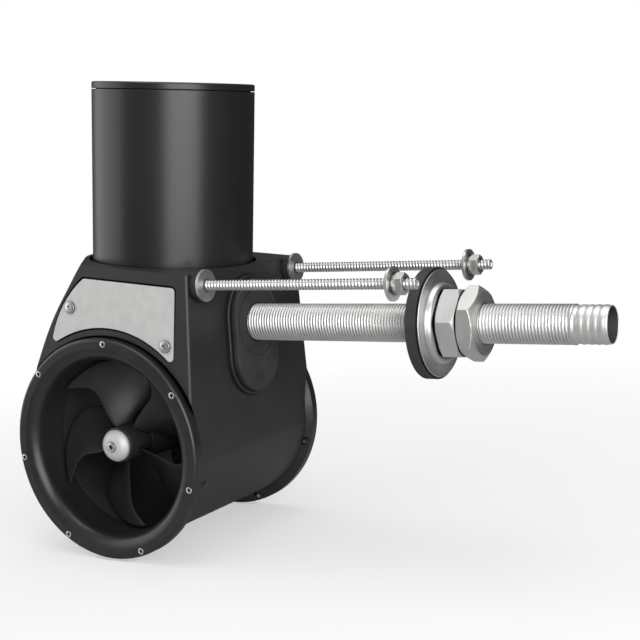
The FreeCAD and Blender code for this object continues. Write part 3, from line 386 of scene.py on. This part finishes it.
for name in ("near", "far"):
    low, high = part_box("stud_" + name)
    center = (0.0, (low[1] + high[1]) / 2 / MM, (low[2] + high[2]) / 2 / MM)
    x0 = low[0] / MM
    x1 = high[0] / MM
    r = (high[2] - low[2]) / 2 / MM
    key = hexagon_radius(STUD_KEY, STUD_COLUMNS)
    body = thread_rows(x0, x1 - STUD_CHAMFER, r, STUD_PITCH, STUD_DEPTH, STUD_COLUMNS, STUD_ROWS_PER_TURN)
    mouth = [(x1, r - STUD_CHAMFER), (x1, key + 0.25), (x1 - 0.3, key), (x1 - KEY_DEPTH, key),
             (x1 - KEY_DEPTH, 0.01)]
    end = x_rings(mouth, STUD_COLUMNS, center)
    start = x_rings([(x0, 0.01)], STUD_COLUMNS, center)
    stud = grid_piece("stud_threaded_" + name, np.concatenate([start, body + np.array(center), end]))
    shade(stud, stud_steel, 60)
    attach(stud, "thruster_body")
    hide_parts("stud_" + name)


# Propellers
# One moulded plastic piece each: a hub on the shaft's end with five wide blades whose trailing tips
# are hooked. The two propellers are mirror images, because one pinion turns them in opposite ways.
BLADES = 5
BLADE_TURN = 104.0
BLADE_ROOT_R = 14.0
BLADE_TIP_R = 83.5
BLADE_TIP_ANGLE = 44.0
# Each row is a radius and the angles, in degrees, of the leading and the hooked edge there.
BLADE_OUTLINE = np.array(((BLADE_ROOT_R, -2, 30), (22, -3, 30), (27, -14, 30), (33, -23, 29.5),
                          (40, -26, 28.5), (49, -25, 27), (55, -23, 26.5), (61, -19.5, 27.5), (68, -15, 31),
                          (73, -11, 35), (79, -3, 40), (BLADE_TIP_R, 8, BLADE_TIP_ANGLE)))
BLADE_HOOK_Y = -86.0
BLADE_PITCH = 198.0
BLADE_HALF_ROOT = 1.9
BLADE_TAPER = 0.9 / 70.0
OUTLINE_SAMPLES = 280
SMOOTH = 25
BLADE_ROWS = 30
BLADE_STEPS = 21


def blade_rows(middle):
    """Closed loops of one blade from root to tip, each over s from the leading edge to the hooked one.

    The sheet is y = hook_y + pitch * (tip angle - a) / 360 at angle a, and half its thickness,
    h sin(pi s)^0.4, stands off it along the helix's normal.
    """
    fine = np.linspace(BLADE_ROOT_R, BLADE_TIP_R, OUTLINE_SAMPLES)
    edges = []
    for k in (1, 2):
        v = np.interp(fine, BLADE_OUTLINE[:, 0], BLADE_OUTLINE[:, k])
        v = np.pad(v, SMOOTH // 2, mode="reflect", reflect_type="odd")
        edges.append(np.convolve(v, np.ones(SMOOTH) / SMOOTH, "valid"))
    along = np.linspace(BLADE_ROOT_R, BLADE_TIP_R - 0.5, BLADE_ROWS)
    r = np.concatenate([[BLADE_ROOT_R], along, [BLADE_TIP_R]])
    lead = np.interp(r, fine, edges[0])[:, None]
    hook = np.interp(r, fine, edges[1])[:, None]
    h = BLADE_HALF_ROOT - BLADE_TAPER * (r - BLADE_ROOT_R)
    h[0] = 0.0
    h[-1] = 0.0
    r = r[:, None]
    out = np.linspace(0.0, 1.0, BLADE_STEPS)
    s = np.concatenate([out, np.linspace(1.0, 0.0, BLADE_STEPS)[1:-1]])[None, :]
    side = np.where(np.arange(s.shape[1]) < BLADE_STEPS, 1.0, -1.0)[None, :]
    a = lead + s * (hook - lead)
    thick = side * h[:, None] * np.sin(math.pi * s) ** 0.4
    steep = np.arctan(BLADE_PITCH / (2 * math.pi) / r)
    y = BLADE_HOOK_Y + BLADE_PITCH * (BLADE_TIP_ANGLE - a) / 360.0 + thick * np.cos(steep)
    t = np.radians(a + middle) + thick * np.sin(steep) / r
    return np.stack([r * np.cos(t), y + 0 * t, r * np.sin(t)], axis=-1)


HUB_Y = 60.0
HUB_LENGTH = 31.0
HUB_SHAFT_R = 7.0
HUB_R = 17.5
HUB_PROFILE = ((0.0, HUB_SHAFT_R), (0.0, HUB_R + 0.4), (3.0, HUB_R + 0.2), (8.0, HUB_R),
               (HUB_LENGTH - 0.4, HUB_R), (HUB_LENGTH, HUB_R - 0.4), (HUB_LENGTH, HUB_SHAFT_R))
for mirror, name in ((1, "near"), (-1, "far")):
    flip = np.array([1.0, mirror, 1.0])
    hub = turned(HUB_PROFILE, 48, (0.0, -HUB_Y * mirror, 0.0), (0.0, -mirror, 0.0))
    parts = [grid_piece("hub", carry(hub))]
    for k in range(BLADES):
        loops = blade_rows(BLADE_TURN + 360.0 / BLADES * k) * flip
        # A mirrored loop runs the other way round, so that its faces still look outward.
        parts.append(grid_piece("blade", carry(loops[:, ::mirror])))
    for part in parts:
        shade(part, prop_plastic, 50)
    propeller = joined(parts, "hooked_propeller_" + name)
    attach(propeller, "drive_" + name)
    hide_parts("propeller_" + name)


# Clamp nuts
# Hexagon nut and lock nut of one bar size on the conduit, their corners turned back at both ends,
# standing as they were last tightened.
NUT_AF = 60.0
NUT_BORE = PIPE_R + 0.05
NUT_COLUMNS = 96
CHAMFER_SLOPE = 1.73
NUTS = (("clamp_nut", 205.0, 223.0, 51.6, 3.4), ("clamp_locknut", 223.0, 239.5, 32.3, 6.2))


def hex_nut(x0, x1, turn, chamfer):
    """Rings about X of a hexagon at turn degrees, r <= corner - chamfer + slope * depth at each end."""
    t = np.linspace(0.0, 2 * math.pi, NUT_COLUMNS, endpoint=False) + math.radians(turn)
    flat = NUT_AF / 2 / np.cos((t - math.radians(turn)) % (math.pi / 3) - math.pi / 6)
    corner = NUT_AF / 2 / math.cos(math.pi / 6)
    depths = np.linspace(0.0, chamfer / CHAMFER_SLOPE, 9)
    stations = [x0 + d for d in depths] + [x1 - d for d in depths[::-1]]
    profile = [(x0, np.full(NUT_COLUMNS, NUT_BORE))]
    for x in stations:
        profile.append((x, np.minimum(flat, corner - chamfer + CHAMFER_SLOPE * min(x - x0, x1 - x))))
    profile += [(x1, profile[0][1]), profile[0]]
    return np.array([np.stack([np.full(NUT_COLUMNS, x), r * np.cos(t), r * np.sin(t)], axis=-1)
                     for x, r in profile])


for node, x0, x1, turn, chamfer in NUTS:
    nut = grid_piece(node + "_turned", hex_nut(x0, x1, turn, chamfer))
    shade(nut, nut_steel, 25)
    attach(nut, "pipe_clamp")
    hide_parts(node)


# Clamp washer
# Turned stainless washer that presses the rubber disc: a thin flat rim, a rounded hub and a groove
# where the nut sits.
WASHER_BACK = 195.0
WASHER_FRONT = 205.0
RIM_R = 48.6
WASHER_PROFILE = ((WASHER_BACK, NUT_BORE), (WASHER_BACK, RIM_R - 0.4), (195.5, RIM_R), (196.8, RIM_R),
                  (197.2, RIM_R - 0.4), (197.4, 38.5), (197.9, 37.0), (199.2, 36.3), (201.6, 35.8),
                  (202.6, 35.0), (203.2, 33.6), (203.4, 31.5), (203.4, 28.6), (WASHER_FRONT, 28.4),
                  (WASHER_FRONT, NUT_BORE), (WASHER_BACK, NUT_BORE))
washer = grid_piece("clamp_washer_turned", x_rings(WASHER_PROFILE, NUT_COLUMNS))
shade(washer, stainless, 40)
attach(washer, "pipe_clamp")
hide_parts("clamp_washer")


# Socket screws
# Stainless cap screws with a rounded head and a hexagon socket: seven through each nozzle ring,
# two in each zinc plate, six in the motor's lid and one in each propeller's zinc cone.
SCREW_COLUMNS = 24


def socket_screw(foot, axis, shank_r, shank, head_r, head_h, key_af):
    """Rings of one screw whose head stands on foot and points along axis."""
    key = hexagon_radius(key_af, SCREW_COLUMNS)
    edge = min(0.5, head_h * 0.3)
    floor = head_h * 0.45
    profile = [(-shank, 0.01), (-shank, shank_r), (0.0, shank_r), (0.0, head_r), (head_h - edge, head_r),
               (head_h - edge * 0.3, head_r - edge * 0.3), (head_h, head_r - edge), (head_h, key + 0.2),
               (head_h - 0.2, key), (floor, key), (floor, 0.01)]
    return turned(profile, SCREW_COLUMNS, foot, axis)


def screw_piece(name, rings, body, node):
    """One piece of several screws, standing for the plain ones of a CAD node."""
    parts = []
    for r in rings:
        part = grid_piece(name + "_part", carry(r))
        shade(part, screw_steel, 30)
        parts.append(part)
    piece = joined(parts, name)
    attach(piece, body)
    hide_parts(node)


RING_FACE = 113.0
RING_SINK = 3.2
RING_SCREWS = 7
BOLT_CIRCLE = 102.75
# Screws lower than this come out behind the flange and carry nuts. The others go on into the body.
OPEN_BELOW = 20.0
NUTTED_SHANK = 14.5
BODY_SHANK = 24.0
for side, name in ((-1, "near"), (1, "far")):
    rings = []
    for k in range(RING_SCREWS):
        a = math.pi / 2 + 2 * math.pi / RING_SCREWS * k
        x = BOLT_CIRCLE * math.cos(a)
        z = BOLT_CIRCLE * math.sin(a)
        shank = NUTTED_SHANK if z < OPEN_BELOW else BODY_SHANK
        foot = (x, side * (RING_FACE - RING_SINK), z)
        rings.append(socket_screw(foot, (0, side, 0), 2.0, shank, 3.4, 3.2, 3.0))
    screw_piece("ring_screws_" + name, rings, "thruster_body", "nozzle_screws_" + name)

# The zinc plates lie on a drafted face: y is PLATE_Y at the deck and grows by PLATE_DRAFT per mm down.
DECK_Z = 174.0
PLATE_Y = 97.7
PLATE_DRAFT = 0.07
PLATE_PROUD = 1.005
PLATE_HOLES = ((-48.5, 131.9), (66.2, 106.6))
rings = []
for side in (-1, 1):
    for x, z in PLATE_HOLES:
        y = PLATE_Y + PLATE_DRAFT * (DECK_Z - z) + PLATE_PROUD
        rings.append(socket_screw((x, side * y, z), (0, side, 0), 3.0, 20.0, 5.5, 1.4, 4.0))
screw_piece("plate_screws", rings, "thruster_body", "anode_screws")

LID_SCREWS = 6
LID_CIRCLE = 66.0
LID_TOP_Z = 344.7
rings = []
for k in range(LID_SCREWS):
    a = math.radians(30 + 360 / LID_SCREWS * k)
    foot = (LID_CIRCLE * math.cos(a), LID_CIRCLE * math.sin(a), LID_TOP_Z)
    rings.append(socket_screw(foot, (0, 0, 1), 2.5, 20.0, 4.3, 2.8, 3.2))
screw_piece("lid_screws_socket", rings, "thruster_body", "lid_screws")

HUB_END_Y = 97.5
for side, name in ((-1, "near"), (1, "far")):
    rings = [socket_screw((0, side * HUB_END_Y, 0), (0, side, 0), 3.0, 22.5, 4.9, 4.0, 4.0)]
    screw_piece("hub_screw_socket_" + name, rings, "drive_" + name, "hub_screw_" + name)


# Camera
# A long lens in front of the near propeller and a little above the conduit.
right = np.array([0.86539770, 0.49711276, -0.06297392])
up = np.array([-0.00641544, 0.13665658, 0.99059771])
look = np.array([-0.50104456, 0.85685698, -0.12145149])
place = np.array([680.604, -1042.665, 149.897]) * MM
PHOTO_WIDTH = 640
FOCAL_PIXELS = 1280.906
SENSOR = 36.0
lens = bpy.data.cameras.new("camera")
lens.sensor_width = SENSOR
lens.lens = FOCAL_PIXELS / PHOTO_WIDTH * SENSOR
camera = bpy.data.objects.new("camera", lens)
bpy.context.scene.collection.objects.link(camera)
camera.matrix_world = Matrix([(right[k], up[k], -look[k], place[k]) for k in range(3)] + [(0, 0, 0, 1)])
bpy.context.scene.camera = camera


# Studio
# The camera sees white paper. The object sees a grey room, paler above and darker behind it, and is
# lit by a large soft box beside the camera, one at the left and one overhead. The floor is pale and
# fades out round the object.
world = bpy.data.worlds.new("studio")
world.use_nodes = True
wt = world.node_tree
room = wt.nodes["Background"]
paper = wt.nodes.new("ShaderNodeBackground")
paper.inputs["Color"].default_value = (1.0, 1.0, 1.0, 1)
ray = wt.nodes.new("ShaderNodeLightPath")
swap = wt.nodes.new("ShaderNodeMixShader")
direction = wt.nodes.new("ShaderNodeTexCoord")
height = wt.nodes.new("ShaderNodeSeparateXYZ")
wt.links.new(direction.outputs["Generated"], height.inputs["Vector"])
tone = span(wt, height.outputs["Z"], -0.3, 0.7, 0.10, 0.42)
back = span(wt, height.outputs["Y"], -0.1, 0.7, 1.0, 0.3)
wt.links.new(math_in(wt, "MULTIPLY", tone, back), room.inputs["Strength"])
room.inputs["Color"].default_value = (1.0, 1.0, 1.0, 1)
wt.links.new(ray.outputs["Is Camera Ray"], swap.inputs["Fac"])
wt.links.new(room.outputs["Background"], swap.inputs[1])
wt.links.new(paper.outputs["Background"], swap.inputs[2])
wt.links.new(swap.outputs["Shader"], wt.nodes["World Output"].inputs["Surface"])
bpy.context.scene.world = world
bpy.context.scene.view_settings.view_transform = "Standard"

# The floor is a disc FLOOR_GAP metres under the part, its rows running from the rim inward.
FLOOR_R = 1.6
FLOOR_GAP = 0.001
floor_z = cad_box[0][2] - FLOOR_GAP
t = np.linspace(0.0, 2 * math.pi, 48, endpoint=False)
rows = []
for r in (FLOOR_R, 1.0, 0.5, 0.001):
    rows.append(np.stack([r * np.cos(t), r * np.sin(t), np.full_like(t, floor_z)], axis=-1) / MM)
floor = grid_piece("floor", np.array(rows))
pale = surface("floor_pale", (0.86, 0.86, 0.86), (0.88, 0.88, 0.88), (0.8, 0.9), bump=0.02,
               sizes=(("Coarse", 3.0),), edge=0.0)
ft = pale.node_tree
far = ft.nodes.new("ShaderNodeVectorMath")
far.operation = "LENGTH"
ft.links.new(ft.nodes.new("ShaderNodeTexCoord").outputs["Object"], far.inputs[0])
ft.links.new(span(ft, far.outputs["Value"], 0.3, FLOOR_R * 0.7, 0.5, 0.0),
             ft.nodes["Principled BSDF"].inputs["Alpha"])
shade(floor, pale)


def soft_box(name, place, target, wide, tall, watts):
    """Rectangular area lamp that faces the target."""
    lamp = bpy.data.lights.new(name, "AREA")
    lamp.shape = "RECTANGLE"
    lamp.size = wide
    lamp.size_y = tall
    lamp.energy = watts
    o = bpy.data.objects.new(name, lamp)
    bpy.context.scene.collection.objects.link(o)
    back = np.array(place) - np.array(target)
    back = back / np.linalg.norm(back)
    side = np.cross((0.0, 0.0, 1.0), back)
    side = side / np.linalg.norm(side)
    top = np.cross(back, side)
    o.matrix_world = Matrix([(side[k], top[k], back[k], place[k]) for k in range(3)] + [(0, 0, 0, 1)])


middle = (-0.05, 0.0, 0.0)
soft_box("key", (1.5, -1.4, 0.45), middle, 1.9, 1.8, 46)
soft_box("left", (-1.9, -0.6, 0.45), middle, 2.4, 1.8, 17)
soft_box("top", (0.1, 0.1, 2.6), middle, 2.4, 2.4, 36)
